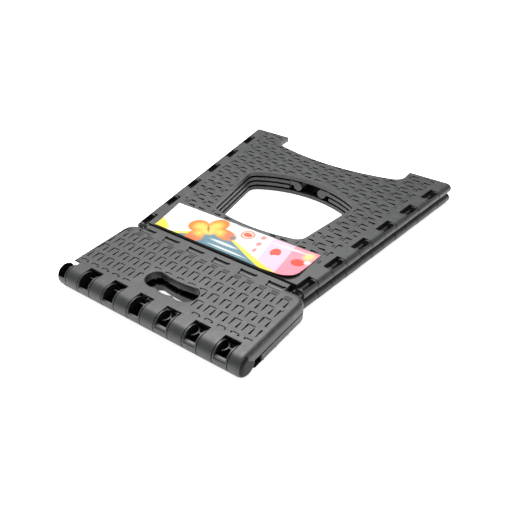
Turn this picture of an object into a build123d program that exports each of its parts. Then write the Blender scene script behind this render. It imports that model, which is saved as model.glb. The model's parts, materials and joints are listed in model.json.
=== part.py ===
"""Folding plastic step stool, folded flat.

X runs along the hinge lines, +Y runs from the handle edge to the feet and
+Z goes up through the folded stack. The upper half of the stool lies on the
lower half, and the two meet at the middle plane.
"""
from build123d import *
from math import hypot
import os

os.makedirs("parts", exist_ok=True)

# Folded stack
THICK = 30.0              # whole folded thickness
MID = THICK / 2           # plane where the two halves of the stool meet
GAP = 0.3                 # each half stops this far from the middle plane
SKIN = 2.6                # moulded wall thickness
RIB = 1.6                 # stiffening rib thickness
RIB_PITCH = 24
RUN = 0.1                 # radial clearance of a bar in its eye
END_GAP = 0.55            # a knuckle stops this far inside its own segment
SKIRT_GAP = 0.9           # a top half's skirt stops this far from the middle plane

# Handle hinge between the two top halves
AXIS_Y = -220.0           # hinge axis
HUB_R = 15.0              # knuckles are as thick as the folded stool
HUB_CLEAR = 15.5          # hollow left for the other half's knuckles
PITCH = 21.0              # one knuckle segment
END_SEGMENT = 18.0        # the two outermost segments are shorter
STUB_R = 4.0              # moulded stubs that the knuckles turn on
STUB = 2.6                # how far a stub stands out of its own segment
WINDOW_Y = -207.8         # far edge of the windows in the tread
SHELL_END = 12.0          # an open knuckle's shell stops here, seen tread up
WEB = 2.0                 # walls of a hollow knuckle
EYE_STOP = 3.0            # closed end of the outermost eye
BRACE_Y = 4.6             # brace across an open knuckle, beyond its stubs
CURLED_TO = 0             # open knuckles up to here have curled walls instead
CURL = 1.8                # thickness of a curled wall
CURL_Y = -214.4           # where the two curls come nearest to each other
CURL_REACH = 7.6          # how far a curl reaches into its pocket
FRONT_BAR_Z = 15.0        # top of the bar across the front of such a pocket
NOTCH_Y = -197.0          # the skirt is cut back this far at the open end
SEAM_Z = 4.0              # fine seam line low on a closed knuckle
SEAM = 0.9                # width of that line

# Top halves
NARROW_X = 140.0          # left side of the upper half
WIDE_X = 6 * PITCH + END_SEGMENT
CORNER_Y = -104.2         # far edge beside the lip
LIP_X = 113.4             # half width of the overhanging lip
LIP_Y = -96.6             # edge of the lip
LIP_UNDER = 27.0          # underside of the lip
RIB_UNDER = 19.0          # underside of the ribs in a top half
EDGE_R = 7.0              # rounding of the outer edges
GRIP_UNDER = 20.5         # lower end of the wall round the grip slot
GRIP_RIM = 1.6            # rounding of the slot's rim
GRIP_TOP = 28.1           # upper end of that wall, inside the tread's skin
CORNER_R = 16.0           # far corners in plan

# Hinge between a top half and its side panel
TAB_Y = -108.6            # hinge axis
TAB_Z = 22.8              # hinge axis of the upper half, also of its end panels
TAB_PITCH = 41.2
TAB_WIDTH = 20.4
TAB_SHIFT = -3.0          # the row of tabs sits left of the middle
TAB_R = 6.2
TAB_ROOM = 0.6            # side clearance of a tab
TAB_WINDOW_NEAR = 5.8     # the tab's window in the tread, before its axis
TAB_WINDOW_FAR = 4.4      # and beyond it
CHEEK = 2.4               # walls beside a tab
DIMPLE_R = 1.9            # round mark at each end of a tab's window
DIMPLE_DEPTH = 3.5
ARM_UNDER = 16.2          # underside of the tab's arm
ARM_TOP = 26.2            # top of the arm, under the lip
PIN_R = 3.0

# Side panels
PANEL_Y = -94.6           # near end of the side hinges
PLATE_Y = -92.4           # edge next to the lip
ARM_ROOT = 0.2            # the tabs' arms run this far into the panel's edge
FOOT_Y = 235.0            # feet
AXIS_X0 = 128.2           # side hinge axis at PANEL_Y
SLOPE = 0.125             # the side hinges spread towards the feet
SIDE_R = 7.2              # side hinge barrel
INNER = 8.8               # windows reach this far in from the axis
SIDE_PITCH = 54.9
SIDE_WINDOW = 27.4        # length of one window
FIRST_WINDOW = -85.2      # middle of the first window

# End panels
END_Y = -92.0
FOLD_X0 = 15.8            # fold axis at END_Y
FOLD_SLOPE = 0.0224
FOLD_R = 6.8
NEAR_NOTCH = 7.8          # hollow beside the knuckles between lip and hole
FAR_NOTCH = 14.0          # hollow beside the knuckles between hole and feet
NEAR_FOLD_Y = -79.0       # cut back here, clear of the handle hinge when open
HUB_X = 42.0              # end of that cut-back
HOLE_MID = 50.0           # station inside the hand hole
FAR_FOLD_Y = 125.2        # first fold knuckle, at the hand hole's far wall
CLIP_R = 7.0              # hinge clip in a side panel's window
CLIP_OPEN = 4.2           # the clip is open inboard of this
END_RIB = 21.5            # top of the ribs in an end half

# Openings
RIM_GAP = 1.6             # each layer's rim stops this far from the next layer
RIM_BACK = 5.0            # depth of the gap between two rims
ARCH_BACK = 16.0          # the three lower layers are cut back round the foot arch

# Paper label
LABEL_THICK = 0.3


def axis_x(y):
    """Distance of the side hinge axis from the middle of the stool."""
    return AXIS_X0 + SLOPE * (y - PANEL_Y)


def fold_x(y):
    """Distance of an end panel's fold axis from the middle of the stool."""
    return FOLD_X0 + FOLD_SLOPE * (y - END_Y)


def line_plane(x, y, z, slope):
    """Plane across a slanted hinge axis: x outboard, y down, normal along it."""
    return Plane(origin=(x, y, z), x_dir=(1, -slope, 0), z_dir=(slope, 1, 0))


def along(y0, y1, slope):
    """Length of a slanted axis between two stations."""
    return (y1 - y0) * hypot(1, slope)


def segment(index):
    """Both ends of one handle hinge segment, 0 to 13 from the left."""
    low = -WIDE_X if index == 0 else (index - 7) * PITCH
    high = WIDE_X if index == 13 else (index - 6) * PITCH
    return low, high


def window(index):
    """Both ends of one side hinge window, 0 to 5 from the lip."""
    middle = FIRST_WINDOW + index * SIDE_PITCH
    return middle - SIDE_WINDOW / 2, middle + SIDE_WINDOW / 2


def tab_centres():
    return [TAB_SHIFT + (i - 2.5) * TAB_PITCH for i in range(6)]


def turned(part):
    """The same moulding turned over about the long axis of the stool."""
    return part.rotate(Axis((0, 0, MID), (0, 1, 0)), 180)


def mirrored(part):
    return part.mirror(Plane.YZ)


def slab(low, high, mode=Mode.ADD):
    """Box between two corners, inside a part block."""
    with Locations(tuple((a + b) / 2 for a, b in zip(low, high))):
        Box(*(b - a for a, b in zip(low, high)), mode=mode)


def rod(x0, x1, y, z, radius, mode=Mode.ADD):
    """Round bar or bore along X, inside a part block."""
    with BuildSketch(Plane.YZ.offset(x0)) as section:
        with Locations((y, z)):
            Circle(radius)
    extrude(section.sketch, amount=x1 - x0, mode=mode)


# Openings shared by the side panels and the end panels
with BuildSketch() as handle_hole:
    with BuildLine():
        near_arc = ThreePointArc((-73, -11), (0, -21.5), (73, -11))
        far_arc = ThreePointArc((90.5, 101), (0, 127.6), (-90.5, 101))
        Line((73, -11), (90.5, 101))
        Line((-90.5, 101), (-73, -11))
    make_face()
    fillet(handle_hole.vertices(), 15)

with BuildSketch() as foot_arch:
    with BuildLine():
        ThreePointArc((-110, 206), (0, 189.3), (110, 206))
        Line((110, 206), (110, FOOT_Y + 20))
        Line((110, FOOT_Y + 20), (-110, FOOT_Y + 20))
        Line((-110, FOOT_Y + 20), (-110, 206))
    make_face()
    fillet(foot_arch.vertices().group_by(Axis.Y)[0], 17)

# Finger grip in the top halves: a straight-ended bean with three finger waves
with BuildSketch() as grip_slot:
    with BuildLine():
        ThreePointArc((-29, -164.9), (0, -168), (28, -164.9))
        ThreePointArc((28, -164.9), (38.2, -177), (30, -191.8))
        ThreePointArc((30, -191.8), (21, -193.4), (12, -191.2))
        ThreePointArc((12, -191.2), (-1, -193.8), (-14, -191))
        ThreePointArc((-14, -191), (-22, -192.8), (-31, -190.4))
        ThreePointArc((-31, -190.4), (-38.6, -178), (-29, -164.9))
    make_face()


def seat_block(depth_from, inset, left_x):
    """Plan outline of a top half beyond the hinge axis, as a solid."""
    with BuildPart() as block:
        with BuildSketch(Plane.XY.offset(depth_from)):
            with Locations(((WIDE_X - left_x) / 2, (AXIS_Y + CORNER_Y) / 2)):
                Rectangle(left_x + WIDE_X - 2 * inset, CORNER_Y - AXIS_Y - 2 * inset)
        extrude(amount=THICK - inset - depth_from)
        fillet(block.edges().filter_by(Axis.Z).group_by(Axis.Y)[-1], CORNER_R - inset)
        if inset == 0:
            top_edges = block.faces().sort_by(Axis.Z)[-1].edges().sort_by(Axis.Y)[1:]
            fillet(top_edges, EDGE_R)
    return block.part


def end_knuckle():
    """The outermost knuckle, with its rounded end."""
    with BuildPart() as knuckle:
        rod(segment(13)[0] + END_GAP, WIDE_X, AXIS_Y, MID, HUB_R)
        fillet(knuckle.faces().sort_by(Axis.X)[-1].edges(), EDGE_R)
    return knuckle.part


def tab_room(x):
    """Room under the tread for one tab of the side panel and for its swing."""
    half = TAB_WIDTH / 2 + TAB_ROOM
    rod(x - half, x + half, TAB_Y, TAB_Z, TAB_R + 0.5, mode=Mode.SUBTRACT)
    slab((x - half, TAB_Y - TAB_R - 0.8, MID), (x + half, TAB_Y + TAB_R + 0.8, TAB_Z),
         mode=Mode.SUBTRACT)
    slab((x - half, TAB_Y, MID), (x + half, CORNER_Y + 1, LIP_UNDER), mode=Mode.SUBTRACT)
    slab((x - half, TAB_Y - TAB_WINDOW_NEAR, TAB_Z), (x + half, TAB_Y + TAB_WINDOW_FAR, THICK + 1),
         mode=Mode.SUBTRACT)


def tab_cheeks(x):
    """Walls that hold the tab's bar, each with a round lightening hole above."""
    for side in (-1, 1):
        near = x + side * (TAB_WIDTH / 2 + TAB_ROOM)
        low, high = sorted((near, near + side * CHEEK))
        slab((low, TAB_Y - 9, MID + GAP), (high, CORNER_Y - 0.5, THICK - 1))
        with Locations((near, TAB_Y + TAB_WINDOW_FAR - DIMPLE_R / 2, THICK)):
            Cylinder(DIMPLE_R, 2 * DIMPLE_DEPTH, mode=Mode.SUBTRACT)


def knuckle_pocket(x0, x1, open_knuckles):
    """Hollow between two walls of a handle hinge knuckle."""
    rod(x0, x1, AXIS_Y, MID, HUB_R - SKIN, mode=Mode.SUBTRACT)
    if open_knuckles:
        slab((x0, AXIS_Y - HUB_R - 1, -1), (x1, AXIS_Y + HUB_R + 1, SHELL_END),
             mode=Mode.SUBTRACT)


def knuckle_seam(low, high):
    """Fine line along a closed knuckle, where its mould parts."""
    y = AXIS_Y - (HUB_R ** 2 - (MID - SEAM_Z) ** 2) ** 0.5
    slab((low, y - 2, SEAM_Z), (high, y + 1, SEAM_Z + SEAM), mode=Mode.SUBTRACT)


def curled_walls(low, high):
    """Two curled walls with a tie between them, inside an open knuckle."""
    with BuildPart() as walls:
        with BuildSketch(Plane.XY.offset(SHELL_END - 3)) as plan:
            with BuildLine() as curls:
                for wall, inward in ((low, 1), (high, -1)):
                    ThreePointArc((wall + inward * 1.8, CURL_Y + 7),
                                  (wall + inward * CURL_REACH, CURL_Y),
                                  (wall + inward * 4, CURL_Y - 8))
            for curl in curls.edges():
                trace(curl, line_width=CURL)
            with Locations(((low + high) / 2, CURL_Y)):
                Rectangle(high - low - 2 * CURL_REACH, CURL)
            with Locations(((low + high) / 2, AXIS_Y - HUB_R + 3.4)):
                Rectangle(high - low - 2 * END_GAP - 2, 4)
        extrude(plan.sketch, amount=THICK)
        with BuildSketch(Plane.YZ.offset(low)) as section:
            with Locations((AXIS_Y, MID)):
                Circle(HUB_R - 0.7)
        extrude(section.sketch, amount=high - low, mode=Mode.INTERSECT)
        rod(low, high, AXIS_Y, MID, STUB_R + 1, mode=Mode.SUBTRACT)
        slab((low, AXIS_Y - HUB_R, FRONT_BAR_Z), (high, AXIS_Y - HUB_R + 6, THICK),
             mode=Mode.SUBTRACT)
    return walls.part


def top_half(open_knuckles, left_x):
    """One half of the seat with its tread up and the odd hinge segments."""
    own = [segment(i) for i in range(1, 14, 2)]
    other = [segment(i) for i in range(0, 14, 2)]
    with BuildPart() as half:
        add(seat_block(MID + SKIRT_GAP, 0, left_x))
        # Grip slot with a rounded rim
        with BuildSketch(Plane.XY.offset(MID)):
            add(grip_slot.sketch)
        extrude(amount=MID + 1, mode=Mode.SUBTRACT)
        fillet(half.faces().sort_by(Axis.Z)[-1].inner_wires()[0].edges(), GRIP_RIM)
        add(seat_block(MID, SKIN, left_x), mode=Mode.SUBTRACT)
        for x in range(-120, 121, RIB_PITCH):
            slab((x, AXIS_Y + HUB_R, RIB_UNDER), (x + RIB, CORNER_Y - 1, THICK - 2))
        for y in range(-194, -121, RIB_PITCH):
            slab((-left_x + 1, y, RIB_UNDER), (WIDE_X - 1, y + RIB, THICK - EDGE_R / 3))
        slab((-LIP_X, CORNER_Y - EDGE_R - 1, LIP_UNDER), (LIP_X, LIP_Y, THICK))
        # Knuckles on the odd segments, windows for the other half's knuckles
        add(end_knuckle())
        for low, high in own[:-1]:
            rod(low + END_GAP, high - END_GAP, AXIS_Y, MID, HUB_R)
        for low, high in other:
            slab((low - END_GAP, AXIS_Y - HUB_R - 1, -1), (high + END_GAP, WINDOW_Y, THICK + 1),
                 mode=Mode.SUBTRACT)
            rod(low - END_GAP, high + END_GAP, AXIS_Y, MID, HUB_CLEAR, mode=Mode.SUBTRACT)
        slab((-left_x - 1, AXIS_Y, MID), (segment(0)[1], NOTCH_Y, THICK - SKIN),
             mode=Mode.SUBTRACT)
        for low, high in own:
            knuckle_pocket(low + END_GAP + WEB, high - END_GAP - WEB, open_knuckles)
            if open_knuckles:
                rod(low - 1, min(high + 1, WIDE_X - EYE_STOP), AXIS_Y, MID, STUB_R + RUN,
                    mode=Mode.SUBTRACT)
                if high <= CURLED_TO:
                    add(curled_walls(low, high))
                else:
                    slab((low + END_GAP + 1, AXIS_Y + BRACE_Y, SHELL_END - 3),
                         (high - END_GAP - 1, AXIS_Y + BRACE_Y + RIB, THICK - 4))
            else:
                rod(low - STUB, min(high + STUB, WIDE_X - 1), AXIS_Y, MID, STUB_R)
                knuckle_seam(low + END_GAP + 1, min(high, WIDE_X - EDGE_R) - END_GAP - 1)
        # Moulded wall round the grip slot
        with BuildSketch(Plane.XY.offset(GRIP_UNDER)):
            add(grip_slot.sketch)
            offset(amount=SKIN)
        extrude(amount=GRIP_TOP - GRIP_UNDER)
        with BuildSketch(Plane.XY.offset(MID)):
            add(grip_slot.sketch)
        extrude(amount=MID, mode=Mode.SUBTRACT)
        for x in tab_centres():
            tab_room(x)
        for x in tab_centres():
            tab_cheeks(x)
        bar_reach = TAB_WIDTH / 2 + CHEEK
        rod(tab_centres()[0] - bar_reach, tab_centres()[-1] + bar_reach, TAB_Y, TAB_Z, PIN_R)
    return half.part


def spread_rod(y0, y1, radius, mode=Mode.ADD):
    """Round bar or bore along the right side hinge axis."""
    with BuildSketch(line_plane(axis_x(y0), y0, TAB_Z, SLOPE)) as section:
        Circle(radius)
    extrude(section.sketch, amount=along(y0, y1, SLOPE), mode=mode)


def spread_slab(y0, y1, low, high, mode=Mode.ADD):
    """Bar of rectangular section (outboard, up) along the right side hinge."""
    with BuildSketch(line_plane(axis_x(y0), y0, TAB_Z, SLOPE)) as section:
        with Locations(((low[0] + high[0]) / 2, -(low[1] + high[1]) / 2)):
            Rectangle(high[0] - low[0], high[1] - low[1])
    extrude(section.sketch, amount=along(y0, y1, SLOPE), mode=mode)


def side_segments():
    """Both ends of the side panel's own knuckles, from the lip to the feet."""
    ends = [window(i)[1] for i in range(6)]
    starts = [window(i)[0] for i in range(1, 6)] + [FOOT_Y]
    return list(zip(ends, starts))


with BuildSketch() as panel_outline:
    with BuildLine():
        Polyline((axis_x(PLATE_Y) - INNER, PLATE_Y), (axis_x(FOOT_Y) - INNER, FOOT_Y),
                 (INNER - axis_x(FOOT_Y), FOOT_Y), (INNER - axis_x(PLATE_Y), PLATE_Y),
                 close=True)
    make_face()


def openings(back, grow):
    """Hand hole and foot arch, both grown, the arch cut back as well, as a sketch."""
    with BuildSketch() as cuts:
        add(handle_hole.sketch)
        if grow:
            offset(amount=grow)
        with BuildSketch(mode=Mode.PRIVATE) as arch:
            add(foot_arch.sketch)
            if back + grow:
                offset(amount=back + grow)
        add(arch.sketch)
    return cuts.sketch


def panel_hollow(back):
    """Inside of a side panel's walls, as a sketch."""
    with BuildSketch() as hollow:
        add(panel_outline.sketch)
        offset(amount=-SKIN)
        add(openings(back, SKIN), mode=Mode.SUBTRACT)
    return hollow.sketch


def rib_grid():
    """Square grid of ribs, wider than any panel, as a sketch."""
    with BuildSketch() as grid:
        with Locations((0, RIB_PITCH / 2)):
            with GridLocations(RIB_PITCH, 1, 15, 1):
                Rectangle(RIB, 400)
            with GridLocations(1, RIB_PITCH, 1, 20):
                Rectangle(400, RIB)
    return grid.sketch


def openings_through(low_z, high_z, back):
    """Cut the hand hole and the foot arch through, inside a part block."""
    with BuildSketch(Plane.XY.offset(low_z)) as cuts:
        add(openings(back, 0))
    extrude(cuts.sketch, amount=high_z - low_z, mode=Mode.SUBTRACT)


def rim_gap(low_z, high_z):
    """Stop the rim of the hand hole short of the next layer, inside a part block."""
    with BuildSketch(Plane.XY.offset(low_z)) as ring:
        add(handle_hole.sketch)
        offset(amount=RIM_BACK)
    extrude(ring.sketch, amount=high_z - low_z, mode=Mode.SUBTRACT)


def panel_edge():
    """Knuckles and bars along the right edge of a side panel."""
    with BuildPart() as edge:
        for y0, y1 in side_segments():
            low = y0 + END_GAP
            high = y1 - (END_GAP if y1 < FOOT_Y else 0)
            spread_rod(low, high, SIDE_R)
            spread_slab(low, high, (-INNER - 3, 0.2), (0, SIDE_R))
            spread_rod(y0 - STUB, min(y1 + STUB, FOOT_Y - 3), PIN_R)
        slab((0, FOOT_Y, 0), (200, FOOT_Y + 10, THICK + 1), mode=Mode.SUBTRACT)
    return edge.part


def side_panel(back):
    """One side panel with its tread up, hinge tabs towards the lip."""
    edge = panel_edge()
    with BuildPart() as panel:
        with BuildSketch(Plane.XY.offset(TAB_Z + 0.2)):
            add(panel_outline.sketch)
        extrude(amount=THICK - TAB_Z - 0.2)
        with BuildSketch(Plane.XY.offset(TAB_Z)):
            add(panel_hollow(back))
        extrude(amount=THICK - SKIN - TAB_Z, mode=Mode.SUBTRACT)
        with BuildSketch(Plane.XY.offset(TAB_Z + 1)):
            add(rib_grid())
            add(panel_outline.sketch, mode=Mode.INTERSECT)
        extrude(amount=THICK - 1 - TAB_Z - 1)
        openings_through(0, THICK + 1, back)
        rim_gap(TAB_Z, TAB_Z + RIM_GAP)
        add(edge)
        add(mirrored(edge))
        for x in tab_centres():
            rod(x - TAB_WIDTH / 2, x + TAB_WIDTH / 2, TAB_Y, TAB_Z, TAB_R)
            slab((x - TAB_WIDTH / 2, TAB_Y, ARM_UNDER), (x + TAB_WIDTH / 2, PLATE_Y + ARM_ROOT, ARM_TOP))
            rod(x - TAB_WIDTH / 2, x + TAB_WIDTH / 2, TAB_Y, TAB_Z, PIN_R + RUN,
                mode=Mode.SUBTRACT)
    return panel.part


def fold_edge(y, back):
    """Point on an end half's inner edge, the given distance out from the fold axis."""
    return (fold_x(y) + back, y)


def side_edge(y):
    """Point on an end half's outer edge, clear of the side panel's knuckles."""
    return (axis_x(y) - INNER - 0.6, y)


def end_outline(inset):
    """Plan outline of a right end half without its openings, as a sketch."""
    with BuildSketch() as outline:
        with BuildLine():
            Polyline((HUB_X + 20, END_Y), (HUB_X, NEAR_FOLD_Y),
                     fold_edge(NEAR_FOLD_Y, NEAR_NOTCH), fold_edge(HOLE_MID, NEAR_NOTCH),
                     fold_edge(HOLE_MID, FAR_NOTCH), fold_edge(FOOT_Y, FAR_NOTCH),
                     side_edge(FOOT_Y), side_edge(END_Y), close=True)
        make_face()
        if inset:
            offset(amount=-inset)
            add(openings(ARCH_BACK, inset), mode=Mode.SUBTRACT)
    return outline.sketch


def clip(index):
    """Hollow hinge clip of a right end half, in one window of its side panel."""
    low = window(index)[0] + END_GAP
    high = window(index)[1] - END_GAP
    with BuildPart() as hook:
        spread_rod(low, high, CLIP_R)
        spread_slab(low, high, (-INNER - 2.5, MID + GAP + 0.2 - TAB_Z), (0, -0.3))
        spread_rod(low + WEB, high - WEB, CLIP_R - WEB, mode=Mode.SUBTRACT)
        spread_slab(low + WEB, high - WEB, (-CLIP_R - 1, -0.3), (CLIP_OPEN, CLIP_R + 1),
                    mode=Mode.SUBTRACT)
        spread_rod(low - 1, high + 1, PIN_R + RUN, mode=Mode.SUBTRACT)
    return hook.part


def fold_knuckle(y0, y1, notch):
    """One knuckle of the fold between two end halves."""
    with BuildPart() as knuckle:
        with BuildSketch(line_plane(fold_x(y0), y0, MID, FOLD_SLOPE)) as section:
            Circle(FOLD_R)
            with Locations((notch / 2 + 0.6, -(FOLD_R + GAP) / 2)):
                Rectangle(notch + 1.2, FOLD_R - GAP)
        extrude(section.sketch, amount=along(y0, y1, FOLD_SLOPE))
    return knuckle.part


def end_half(parity):
    """One half of a right end panel; parity picks its fold knuckles."""
    with BuildPart() as half:
        with BuildSketch(Plane.XY.offset(MID + GAP)):
            add(end_outline(0))
        extrude(amount=TAB_Z - 0.2 - MID - GAP)
        with BuildSketch(Plane.XY.offset(MID + GAP + SKIN)):
            add(end_outline(SKIN))
        extrude(amount=TAB_Z, mode=Mode.SUBTRACT)
        with BuildSketch(Plane.XY.offset(MID + 1)):
            add(rib_grid())
            add(end_outline(0), mode=Mode.INTERSECT)
        extrude(amount=END_RIB - MID - 1)
        openings_through(0, THICK + 1, ARCH_BACK)
        rim_gap(MID, MID + RIM_GAP)
        rim_gap(TAB_Z - RIM_GAP, TAB_Z)
        for index in range(6):
            add(clip(index))
        for start, pitch, notch in ((NEAR_FOLD_Y, 13.7, NEAR_NOTCH), (FAR_FOLD_Y, 14.0, FAR_NOTCH)):
            for step in range(parity, 4, 2):
                y0 = start + step * pitch + END_GAP
                add(fold_knuckle(y0, y0 + pitch - 2 * END_GAP, notch))
    return half.part


# Paper label, stuck between the lip and the hand hole
with BuildPart() as paper_label:
    with BuildSketch(Plane.XY.offset(THICK)):
        with BuildLine():
            Polyline((-108.7, -91.5), (111, -90.5), (112.7, -25.6), (-119.5, -30), close=True)
        make_face()
    extrude(amount=LABEL_THICK)
    fillet(paper_label.edges().filter_by(Axis.Z).sort_by(Axis.Y)[0:2].sort_by(Axis.X)[-1], 18)
paper_label.part.label = "paper_label"
export_step(paper_label.part, "parts/paper_label.step")

end_odd = end_half(1)
end_even = end_half(0)
pieces = {
    "top_half_upper": top_half(open_knuckles=False, left_x=NARROW_X),
    "top_half_lower": turned(top_half(open_knuckles=True, left_x=WIDE_X)),
    "side_panel_upper": side_panel(back=0),
    "side_panel_lower": turned(side_panel(back=ARCH_BACK)),
    "end_half_right_upper": end_even,
    "end_half_right_lower": mirrored(turned(end_odd)),
    "end_half_left_upper": mirrored(end_even),
    "end_half_left_lower": turned(end_odd),
}
for label, piece in pieces.items():
    piece.label = label
    export_step(piece, "parts/" + label + ".step")
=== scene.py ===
"""Looks of the folding step stool: moulded plastic, engraved treads and label."""

import json
import math

import bmesh
import bpy
from mathutils import Matrix, Vector

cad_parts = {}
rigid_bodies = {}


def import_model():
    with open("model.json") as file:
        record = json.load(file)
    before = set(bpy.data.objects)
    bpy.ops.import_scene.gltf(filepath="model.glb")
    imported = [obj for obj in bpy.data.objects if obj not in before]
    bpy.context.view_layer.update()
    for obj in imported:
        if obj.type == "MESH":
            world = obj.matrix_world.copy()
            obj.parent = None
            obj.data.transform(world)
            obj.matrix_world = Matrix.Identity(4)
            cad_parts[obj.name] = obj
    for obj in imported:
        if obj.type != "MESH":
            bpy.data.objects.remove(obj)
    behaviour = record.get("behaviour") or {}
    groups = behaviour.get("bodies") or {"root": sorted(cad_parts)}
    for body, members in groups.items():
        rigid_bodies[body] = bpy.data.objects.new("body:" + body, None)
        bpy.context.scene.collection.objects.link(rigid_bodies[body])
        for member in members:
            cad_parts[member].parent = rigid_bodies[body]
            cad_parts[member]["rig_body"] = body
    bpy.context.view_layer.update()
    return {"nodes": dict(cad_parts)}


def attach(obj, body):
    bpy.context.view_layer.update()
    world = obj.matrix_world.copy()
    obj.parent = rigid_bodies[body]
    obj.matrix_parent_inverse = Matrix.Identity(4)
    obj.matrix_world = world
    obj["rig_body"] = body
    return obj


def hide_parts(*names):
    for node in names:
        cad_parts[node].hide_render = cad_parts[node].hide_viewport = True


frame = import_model()

MM = 0.001
SHEEN = 0.45                      # specular level of the plastic

# Sizes in mm
THICK = 30.0                      # folded thickness
HINGE_Y = -220.0                  # axis of the handle hinge
HOLLOW_R = 13.4                   # inside of its knuckles
SEAT_PITCH = 18.12                # from one mark of a seat row to the next
PANEL_PITCH = (23.0, 20.0)        # between a side panel's columns and along them
AXIS_X = 128.2                    # side hinge axis at the near end of a side panel
PANEL_Y = -94.6                   # that near end
SLANT = 0.125                     # how far the axis moves out with each mm towards the feet
LABEL_DEPTH = 63.0                # from the label's near edge to its far one
LABEL_CORNER = 18.0               # radius of its rounded corner

# Arcs in plan: y in the middle, rise at the half width, half width
HOLE_NEAR = (-21.5, 10.5, 73.0)
HOLE_FAR = (127.6, -26.6, 90.5)
FOOT_ARCH = (189.3, 16.7, 110.0)


# ---------------------------------------------------------------- materials

def new_material(name):
    """Empty node material with its output and one principled shader."""
    material = bpy.data.materials.new(name)
    material.use_nodes = True
    tree = material.node_tree
    tree.nodes.clear()
    output = tree.nodes.new("ShaderNodeOutputMaterial")
    shader = tree.nodes.new("ShaderNodeBsdfPrincipled")
    tree.links.new(shader.outputs["BSDF"], output.inputs["Surface"])
    return material, tree, shader


def noise(tree, coordinates, scale, detail):
    node = tree.nodes.new("ShaderNodeTexNoise")
    node.inputs["Scale"].default_value = scale
    node.inputs["Detail"].default_value = detail
    tree.links.new(coordinates, node.inputs["Vector"])
    return node.outputs["Fac"]


def spread(tree, value, low, high, to_low, to_high):
    """Maps a value from one range to another."""
    node = tree.nodes.new("ShaderNodeMapRange")
    sockets = ("From Min", "From Max", "To Min", "To Max")
    for socket, number in zip(sockets, (low, high, to_low, to_high)):
        node.inputs[socket].default_value = number
    tree.links.new(value, node.inputs["Value"])
    return node.outputs["Result"]


def mix_colour(tree, factor, first, second):
    """Mix of two colours, each a socket or a tuple."""
    node = tree.nodes.new("ShaderNodeMix")
    node.data_type = "RGBA"
    for index, value in ((0, factor), (6, first), (7, second)):
        socket = node.inputs[index]
        if isinstance(value, bpy.types.NodeSocket):
            tree.links.new(value, socket)
        else:
            socket.default_value = value if isinstance(value, float) else (*value, 1)
    return node.outputs[2]


def bump(tree, height, strength, distance, normal=None):
    node = tree.nodes.new("ShaderNodeBump")
    node.inputs["Strength"].default_value = strength
    node.inputs["Distance"].default_value = distance
    tree.links.new(height, node.inputs["Height"])
    if normal is not None:
        tree.links.new(normal, node.inputs["Normal"])
    return node.outputs["Normal"]


def moulded_plastic(name, colour, dust_and_highlight):
    """Satin polypropylene: fine spark grain, slight flow mottling, edges painted paler as a
    highlight, and painted shade on faces marked as recesses.
    """
    material, tree, shader = new_material(name)
    place = tree.nodes.new("ShaderNodeTexCoord").outputs["Object"]
    edge = tree.nodes.new("ShaderNodeBevel")
    edge.samples = 4
    edge.inputs["Radius"].default_value = 0.5 * MM
    true_normal = tree.nodes.new("ShaderNodeNewGeometry").outputs["Normal"]
    turn = tree.nodes.new("ShaderNodeVectorMath")
    turn.operation = "DOT_PRODUCT"
    tree.links.new(edge.outputs["Normal"], turn.inputs[0])
    tree.links.new(true_normal, turn.inputs[1])
    # painted highlight on the edges: grows where the bevelled normal turns away from the true one
    edge_highlight = spread(tree, turn.outputs["Value"], 0.98, 0.80, 0.0, 0.55)
    painted_shade = tree.nodes.new("ShaderNodeAttribute")
    painted_shade.attribute_name = "painted_shade"
    mottle = noise(tree, place, 26, 4)
    flow = noise(tree, place, 140, 3)
    grain = noise(tree, place, 2600, 2)
    base = mix_colour(tree, spread(tree, mottle, 0.3, 0.7, 0.0, 1.0),
                      tuple(c * 0.9 for c in colour), tuple(c * 1.1 for c in colour))
    dusted = mix_colour(tree, spread(tree, flow, 0.55, 0.8, 0.0, 0.25), base, dust_and_highlight)
    # painted highlight: edges mixed towards the paler colour
    surface = mix_colour(tree, edge_highlight, dusted, dust_and_highlight)
    # painted shade: faces marked in weave-mark grooves and hollow knuckles get a near-black base
    # colour
    shaded = mix_colour(tree, painted_shade.outputs["Fac"], surface, tuple(c * 0.12 for c in colour))
    tree.links.new(shaded, shader.inputs["Base Color"])
    tree.links.new(spread(tree, flow, 0.3, 0.7, 0.40, 0.52), shader.inputs["Roughness"])
    # and less sheen on those faces, deepening the painted shade
    gloss = spread(tree, painted_shade.outputs["Fac"], 0, 1, SHEEN, 0.05)
    tree.links.new(gloss, shader.inputs["Specular IOR Level"])
    soft = bump(tree, mottle, 0.12, 0.4 * MM, edge.outputs["Normal"])
    tree.links.new(bump(tree, grain, 0.35, 0.05 * MM, soft), shader.inputs["Normal"])
    return material


# ---------------------------------------------------------------- weave marks

def arc(x, curve):
    """How far towards the feet an edge of the hand hole or the foot arch lies."""
    middle, rise, half = curve
    return middle + rise * (x / half) ** 2


def in_hand_hole(x, y, margin):
    near = arc(x, HOLE_NEAR) - margin
    far = arc(x, HOLE_FAR) + margin
    half = 73 + (y + 11) * 17.5 / 112 + margin
    return near < y < far and abs(x) < half


def on_panel(x, y):
    """Inside the side panel's woven field, clear of hinges, hole and feet."""
    border = AXIS_X + SLANT * (y - PANEL_Y) - 8.8 - 7.2
    if abs(x) > border or y < -46:
        return False
    if abs(x) < 114 and not -24 < y < 228:
        return False
    if abs(x) < 113.5 and y > arc(x, FOOT_ARCH) - 2.6:
        return False
    return not in_hand_hole(x, y, 4.0)


def on_seat(x, y):
    """Inside the seat half's woven field, clear of grip, tabs and hinge."""
    if not (-134.5 < x < 134.0 and -203.0 < y < -116.5):
        return False
    return not (-44 < x < 41 and y < -163.5 or abs(x) < 48 and y < -197)


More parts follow.
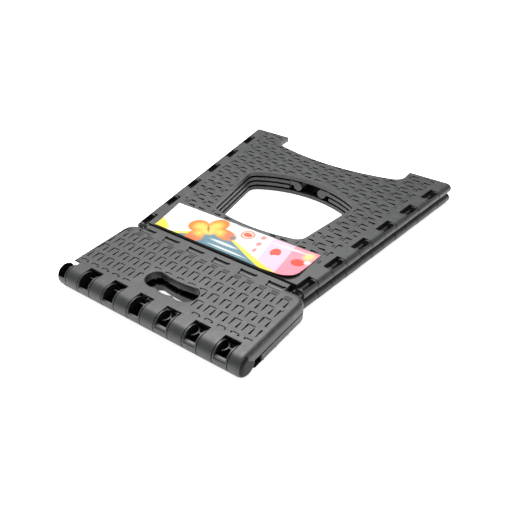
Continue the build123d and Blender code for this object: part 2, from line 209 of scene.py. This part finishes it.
class Engraver:
    """Collects wedge-shaped grooves and makes one cutter mesh of them."""

    def __init__(self):
        self.points, self.faces = [], []

    def groove(self, start, end, widths, depths):
        """A straight groove in plan; width and depth change from one end to the other."""
        along = (Vector(end) - Vector(start)).normalized()
        side = Vector((-along.y, along.x)) / 2
        first = len(self.points)
        for centre, width, depth in zip((Vector(start), Vector(end)), widths, depths):
            for sign in (1, -1):
                p = centre + sign * side * width
                self.points.append((p.x, p.y, THICK + 0.4))
                self.points.append((p.x, p.y, THICK - depth))
        a, b, c, d, e, f, g, h = range(first, first + 8)
        self.faces += [(a, c, g, e), (b, f, h, d), (a, b, d, c),
                       (e, g, h, f), (a, e, f, b), (c, d, h, g)]

    def cutter(self, name, turned_over):
        points = [(-x, y, THICK - z) if turned_over else (x, y, z) for x, y, z in self.points]
        mesh = bpy.data.meshes.new(name)
        mesh.from_pydata([Vector(p) * MM for p in points], [], self.faces)
        made = bmesh.new()
        made.from_mesh(mesh)
        bmesh.ops.recalc_face_normals(made, faces=made.faces)
        made.to_mesh(mesh)
        made.free()
        cutter = bpy.data.objects.new(name, mesh)
        bpy.context.scene.collection.objects.link(cutter)
        return cutter


def clear_run(start, end, field):
    """The longest stretch between two points that lies in the field, or None."""
    steps = 40
    best, run = None, None
    for i in range(steps + 1):
        p = Vector(start).lerp(Vector(end), i / steps)
        if field(p.x, p.y):
            run = (run[0], i) if run else (i, i)
            if best is None or run[1] - run[0] > best[1] - best[0]:
                best = run
        else:
            run = None
    if best is None or best[1] - best[0] < 6:
        return None
    return best[0] / steps, best[1] / steps


def weave_mark(engraver, corner, across, away, shape, field):
    """One mark where a strand dives under the next: two dark legs joined by a thin line.

    corner is the bridge's first end, across runs along the bridge and away along the legs.
    shape gives the mark's width and length, where its first leg ends and its second starts,
    and how bold it is.
    """
    corner, across, away = Vector(corner), Vector(across), Vector(away)
    width, length, first_end, second_start, weight = shape
    far = corner + across * width
    strokes = (
        (corner, corner + away * first_end, (2.2 * weight, 0.9 * weight), (2.3, 0.6)),
        (far + away * second_start, far + away * length, (1.1 * weight, 2.3 * weight), (0.8, 2.3)),
        (corner + across * (1.1 * weight + 0.15), far - across * 0.4, (1.4, 1.0), (1.6, 1.0)),
    )
    for start, end, widths, depths in strokes:
        run = clear_run(start, end, field)
        if run:
            cut = [start.lerp(end, t) for t in run]
            ends = [[between(pair, t) for t in run] for pair in (widths, depths)]
            engraver.groove(*cut, *ends)


def between(pair, t):
    return pair[0] + (pair[1] - pair[0]) * t


def seat_marks():
    """Upright marks in staggered rows, and pairs of fine lines next to the tabs."""
    engraver = Engraver()
    rows = ((-122.5, -133.5, 13.4), (-141.4, -141.3, 13.4), (-161.0, -131.8, 12.6),
            (-180.0, -139.3, 13.0), (-199.2, -129.3, 3.4))
    for top, left, length in rows:
        shape = (9.8, length, length, length * 0.2, 1.1)
        for i in range(16):
            weave_mark(engraver, (left + SEAT_PITCH * i, top), (1, 0), (0, -1), shape, on_seat)
    for i in range(15):
        left = -133.6 + SEAT_PITCH * i
        for y, size in ((-117.5, 0.9), (-119.9, 0.7)):
            engraver.groove((left, y), (left + 10.4, y), (size, size), (0.9, 0.9))
    return engraver


def panel_marks():
    """Marks lying on their side in staggered columns, each with two fine lines beside it."""
    engraver = Engraver()
    shape = (9.9, 15.4, 11.0, 4.6, 1.55)
    for column in range(-7, 8):
        x = 3.2 + PANEL_PITCH[0] * column
        for row in range(-5, 12):
            y = 16.5 + PANEL_PITCH[1] * row - (PANEL_PITCH[1] / 2 if column % 2 else 0)
            weave_mark(engraver, (x, y), (0, -1), (1, 0), shape, on_panel)
            for side in (x - 5.0, x - 2.9):
                if on_panel(side, y - 1.5) and on_panel(side, y - 8.5):
                    engraver.groove((side, y - 8.5), (side, y - 1.5), (0.7, 0.7), (0.7, 0.7))
    return engraver


def welded(mesh):
    """Copy of a mesh with its split corners joined, so that it's a closed solid."""
    made = bmesh.new()
    made.from_mesh(mesh)
    bmesh.ops.remove_doubles(made, verts=made.verts, dist=0.002 * MM)
    made.verts.index_update()
    points = [v.co.copy() for v in made.verts]
    faces = [[v.index for v in f.verts] for f in made.faces]
    made.free()
    joined = bpy.data.meshes.new(mesh.name + "_closed")
    joined.from_pydata(points, [], faces)
    return joined


def paint_recess_shade(mesh, field, turned_over):
    """Sets painted shade on the faces in a weave mark or a hollow knuckle, where shade gathers: the
    plastic paints them near black with little sheen.
    """
    painted_shade = mesh.attributes.new("painted_shade", "FLOAT", "FACE")
    for polygon in mesh.polygons:
        x, y, z = polygon.center / MM
        depth = z if turned_over else THICK - z
        # painted shade in the weave-mark grooves
        if 0.05 < depth < 2.5 and field(-x if turned_over else x, y):
            painted_shade.data[polygon.index].value = 1.0
        # painted shade inside the hollow knuckles, except their upward faces
        elif math.hypot(y - HINGE_Y, z - THICK / 2) < HOLLOW_R and polygon.normal.z > -0.5:
            facing_up = polygon.normal.z > 0.9 and z > THICK / 2
            painted_shade.data[polygon.index].value = 0.0 if facing_up else 0.8


def engraved(node, engraver, field, turned_over, material):
    """Copy of a CAD node with the weave marks cut into its tread; stands for the node."""
    source = frame["nodes"][node]
    piece = bpy.data.objects.new(node + "_tread", welded(source.data))
    bpy.context.scene.collection.objects.link(piece)
    cutter = engraver.cutter(node + "_marks", turned_over)
    cut = piece.modifiers.new("marks", "BOOLEAN")
    cut.operation = "DIFFERENCE"
    cut.solver = "MANIFOLD"
    cut.object = cutter
    bpy.context.view_layer.update()
    solid = piece.evaluated_get(bpy.context.evaluated_depsgraph_get())
    made = bpy.data.meshes.new_from_object(solid)
    piece.modifiers.clear()
    piece.data = made
    bpy.data.objects.remove(cutter)
    finish_plastic(piece, material)
    paint_recess_shade(made, field, turned_over)
    made.shade_smooth()
    made.set_sharp_from_angle(angle=math.radians(32))
    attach(piece, source["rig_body"])
    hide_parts(node)


def finish_plastic(piece, material):
    piece.data.materials.clear()
    piece.data.materials.append(material)


# ---------------------------------------------------------------- label

def soft_ellipse(tree, place, centre, radii, angle=0.0, blur=0.06):
    """1 inside an ellipse given in mm on the label, 0 outside."""
    shift = tree.nodes.new("ShaderNodeVectorMath")
    shift.operation = "SUBTRACT"
    shift.inputs[1].default_value = (centre[0] * MM, centre[1] * MM, 0)
    tree.links.new(place, shift.inputs[0])
    rotate = tree.nodes.new("ShaderNodeVectorRotate")
    rotate.rotation_type = "Z_AXIS"
    rotate.inputs["Angle"].default_value = -math.radians(angle)
    tree.links.new(shift.outputs[0], rotate.inputs["Vector"])
    squeeze = tree.nodes.new("ShaderNodeVectorMath")
    squeeze.operation = "MULTIPLY"
    squeeze.inputs[1].default_value = (1 / (radii[0] * MM), 1 / (radii[1] * MM), 0)
    tree.links.new(rotate.outputs[0], squeeze.inputs[0])
    size = tree.nodes.new("ShaderNodeVectorMath")
    size.operation = "LENGTH"
    tree.links.new(squeeze.outputs[0], size.inputs[0])
    return spread(tree, size.outputs["Value"], 1 + blur, 1 - blur, 0.0, 1.0)


def strip_mask(tree, place, point, direction, width, blur=0.5):
    """1 on a straight band of the label, 0 off it.

    The band's first edge runs through point along direction; the band lies to its left.
    """
    normal = Vector((-direction[1], direction[0])).normalized()
    dot = tree.nodes.new("ShaderNodeVectorMath")
    dot.operation = "DOT_PRODUCT"
    dot.inputs[1].default_value = (normal.x / MM, normal.y / MM, 0)
    tree.links.new(place, dot.inputs[0])
    near = normal.x * point[0] + normal.y * point[1]
    far = near + width
    first = spread(tree, dot.outputs["Value"], near - blur, near + blur, 0.0, 1.0)
    last = spread(tree, dot.outputs["Value"], far - blur, far + blur, 1.0, 0.0)
    return product(tree, first, last)


def product(tree, first, second):
    node = tree.nodes.new("ShaderNodeMath")
    node.operation = "MULTIPLY"
    tree.links.new(first, node.inputs[0])
    tree.links.new(second, node.inputs[1])
    return node.outputs[0]


def label_paper():
    """Glossy printed paper with a generic blossom, a slate hill and a pink panel."""
    material, tree, shader = new_material("printed_paper")
    place = tree.nodes.new("ShaderNodeTexCoord").outputs["Object"]
    fibre = noise(tree, place, 900, 3)
    mottled = spread(tree, fibre, 0.3, 0.7, 0.0, 1.0)
    colour = mix_colour(tree, mottled, (0.62, 0.62, 0.61), (0.66, 0.66, 0.66))
    petal, pollen = (0.64, 0.17, 0.02), (0.71, 0.46, 0.09)
    pale_pink, warm_pink, red = (0.64, 0.42, 0.51), (0.69, 0.23, 0.29), (0.67, 0.07, 0.045)
    slate, yellow = (0.10, 0.19, 0.23), (0.66, 0.53, 0.06)
    hill = product(tree, strip_mask(tree, place, (0, -64), (-58, 26), 90),
                   strip_mask(tree, place, (-38, -68), (-30, -22), 220))
    meadow = product(tree, strip_mask(tree, place, (0, -60.5), (-60, 21), 90),
                     strip_mask(tree, place, (-42, -64), (-30, -22), 220))
    layers = [
        (strip_mask(tree, place, (44, -36), (0.19, -1), 100), pale_pink),
        (strip_mask(tree, place, (77, -36), (0.16, -1), 60), warm_pink),
        (soft_ellipse(tree, place, (62, -53), (7, 8.5), 10), red),
        (soft_ellipse(tree, place, (66, -61), (5, 3.5), 30), pale_pink),
        (soft_ellipse(tree, place, (97, -56), (9, 8), 0), red),
        (soft_ellipse(tree, place, (107, -50), (4, 4), 0, 0.3), (0.70, 0.55, 0.57)),
        (soft_ellipse(tree, place, (102, -38), (6.5, 7.5), 0, 0.5), (0.72, 0.52, 0.18)),
        (soft_ellipse(tree, place, (72, -36), (24, 1.8), 4, 0.5), (0.70, 0.58, 0.62)),
        (soft_ellipse(tree, place, (10, -41), (9.8, 9.8)), (0.62, 0.09, 0.05)),
        (soft_ellipse(tree, place, (10, -41), (8.4, 8.4)), (0.70, 0.42, 0.36)),
        (soft_ellipse(tree, place, (10, -41), (6.4, 4.2)), (0.62, 0.09, 0.05)),
        (soft_ellipse(tree, place, (31, -35), (3.6, 4.6), 0, 0.3), (0.60, 0.20, 0.22)),
        (soft_ellipse(tree, place, (34, -50), (3.6, 4.8), 0, 0.3), (0.60, 0.20, 0.22)),
        (soft_ellipse(tree, place, (37, -64), (2.6, 4.6), 0, 0.3), (0.60, 0.20, 0.22)),
        (meadow, yellow),
        (hill, slate),
        (soft_ellipse(tree, place, (-112, -93), (30, 20), -28), yellow),
    ]
    petals = ((-36, -44, 13, 15, -25), (-58, -60, 14.5, 14, 15), (-17, -57, 17.5, 10.5, -10),
              (-47, -81, 11.5, 14, 8))
    for x, y, rx, ry, angle in petals:
        layers.append((soft_ellipse(tree, place, (x, y), (rx, ry), angle), petal))
    for x, y, rx, ry, angle in petals:
        heart = (x * 0.8 - 43 * 0.2, y * 0.8 - 60 * 0.2)
        small = (rx * 0.58, ry * 0.58)
        layers.append((soft_ellipse(tree, place, heart, small, angle, 0.55), pollen))
    layers += [
        (soft_ellipse(tree, place, (-40, -61), (11, 9), -20, 0.3), pollen),
        (soft_ellipse(tree, place, (-47, -86), (9, 8), 0, 0.6), (0.66, 0.15, 0.06)),
        (soft_ellipse(tree, place, (-9, -57), (9, 8), -20, 0.6), (0.64, 0.15, 0.07)),
        (soft_ellipse(tree, place, (-2, -58), (5, 4.5), -35, 0.4), (0.18, 0.15, 0.15)),
        (soft_ellipse(tree, place, (-43, -58), (1.6, 8), 38, 0.5), (0.34, 0.12, 0.03)),
        (soft_ellipse(tree, place, (-4, -75), (19, 2.2), 0, 0.35), (0.62, 0.64, 0.64)),
        (soft_ellipse(tree, place, (8, -85), (27, 1.7), 0, 0.35), (0.62, 0.64, 0.64)),
        (soft_ellipse(tree, place, (-92, -38), (9, 2.4), 0, 0.5), (0.56, 0.57, 0.58)),
        (soft_ellipse(tree, place, (-9, -30), (11, 1.5), 6, 0.5), (0.42, 0.42, 0.42)),
    ]
    for mask, paint in layers:
        colour = mix_colour(tree, mask, colour, paint)
    tree.links.new(colour, shader.inputs["Base Color"])
    shader.inputs["Roughness"].default_value = 0.38
    shader.inputs["Specular IOR Level"].default_value = 0.25
    tree.links.new(bump(tree, fibre, 0.15, 0.05 * MM), shader.inputs["Normal"])
    return material


def smooth(value):
    value = max(0.0, min(1.0, value))
    return value * value * (3 - 2 * value)


def paper_label():
    """The printed strip, laid on the side panel with its near right corner lifting."""
    made = bmesh.new()
    across, up = 154, 42          # faces along the label and across it
    grid = []
    for j in range(up + 1):
        v = j / up
        row = []
        for i in range(across + 1):
            u = i / across
            left, right = -108.7 - 10.8 * v, 111 + 1.7 * v
            inset = LABEL_DEPTH * v
            if inset < LABEL_CORNER:
                rounding = LABEL_CORNER ** 2 - (LABEL_CORNER - inset) ** 2
                right -= LABEL_CORNER - math.sqrt(max(0.0, rounding))
            x = left + (right - left) * u
            y = -91.5 + 61.5 * v + 3.4 * v * (x + 119.5) / 232
            lift = 0.35 + 0.12 * math.sin(x * 0.055 + 0.7) * (1 - v)
            lift += 1.0 * smooth(1 - inset / 9)
            lift += 3.2 * smooth(1 - math.hypot(x - 108, y + 91) / 44) + 0.5 * smooth((x - 96) / 16)
            row.append(made.verts.new(Vector((x, y, THICK + lift)) * MM))
        grid.append(row)
    for low, high in zip(grid, grid[1:]):
        for a, b, c, d in zip(low, low[1:], high[1:], high):
            made.faces.new((a, b, c, d))
    mesh = bpy.data.meshes.new("printed_label")
    made.to_mesh(mesh)
    made.free()
    mesh.shade_smooth()
    label = bpy.data.objects.new("printed_label", mesh)
    bpy.context.scene.collection.objects.link(label)
    body = label.modifiers.new("thickness", "SOLIDIFY")
    body.thickness = 0.25 * MM
    body.offset = -1
    mesh.materials.append(label_paper())
    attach(label, "side_panel_upper")
    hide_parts("paper_label")


# ---------------------------------------------------------------- stage

def stage():
    material, tree, shader = new_material("pale_floor")
    place = tree.nodes.new("ShaderNodeTexCoord").outputs["Object"]
    tint = noise(tree, place, 3, 2)
    pale = mix_colour(tree, tint, (0.92, 0.92, 0.92), (0.94, 0.94, 0.94))
    tree.links.new(pale, shader.inputs["Base Color"])
    shader.inputs["Emission Color"].default_value = (1, 1, 1, 1)
    shader.inputs["Emission Strength"].default_value = 0.85
    shader.inputs["Roughness"].default_value = 0.9
    bpy.ops.mesh.primitive_plane_add(size=12, location=(0, 0, -0.0002))
    floor = bpy.context.object
    floor.name = "floor"
    floor.data.materials.append(material)


def area_light(name, place, target, size, watts):
    data = bpy.data.lights.new(name, "AREA")
    data.shape = "DISK"
    data.size = size
    data.energy = watts
    light = bpy.data.objects.new(name, data)
    light.location = place
    light.rotation_euler = (Vector(target) - Vector(place)).to_track_quat("-Z", "Y").to_euler()
    bpy.context.scene.collection.objects.link(light)


def camera():
    yaw, pitch, roll = (math.radians(a) for a in (36.88, 35.484, -1.303))
    level_part = math.cos(pitch)
    forward = Vector((-math.sin(yaw) * level_part, math.cos(yaw) * level_part, -math.sin(pitch)))
    right = Vector((math.cos(yaw), math.sin(yaw), 0))
    up = right.cross(forward)
    level = Matrix((right, up, -forward)).transposed()
    data = bpy.data.cameras.new("camera")
    data.lens = 45.48
    data.sensor_width = 36
    made = bpy.data.objects.new("camera", data)
    turn = level @ Matrix.Rotation(roll, 3, "Z")
    made.matrix_world = Matrix.Translation((0.43803, -0.59732, 0.49834)) @ turn.to_4x4()
    bpy.context.scene.collection.objects.link(made)
    bpy.context.scene.camera = made


def light_room():
    world = bpy.data.worlds.new("soft_room")
    world.use_nodes = True
    world.node_tree.nodes["Background"].inputs["Color"].default_value = (1, 1, 1, 1)
    world.node_tree.nodes["Background"].inputs["Strength"].default_value = 0.20
    bpy.context.scene.world = world
    bpy.context.scene.view_settings.view_transform = "Standard"
    area_light("back_softbox", (-0.44, 0.42, 1.5), (0, -0.1, 0), 1.4, 54)
    area_light("overhead", (0.5, -0.6, 1.6), (0, 0, 0), 1.2, 3)


# the last colour is both the flow dust tone and the painted edge highlight
plastic = moulded_plastic("anthracite_plastic", (0.036, 0.038, 0.037), (0.12, 0.123, 0.12))
for name, node in frame["nodes"].items():
    if name != "paper_label":
        finish_plastic(node, plastic)
seat, panel = seat_marks(), panel_marks()
for name, engraver, field, turned_over in (
    ("top_half_upper", seat, on_seat, False),
    ("top_half_lower", seat, on_seat, True),
    ("side_panel_upper", panel, on_panel, False),
    ("side_panel_lower", panel, on_panel, True),
):
    engraved(name, engraver, field, turned_over, plastic)
paper_label()
stage()
camera()
light_room()
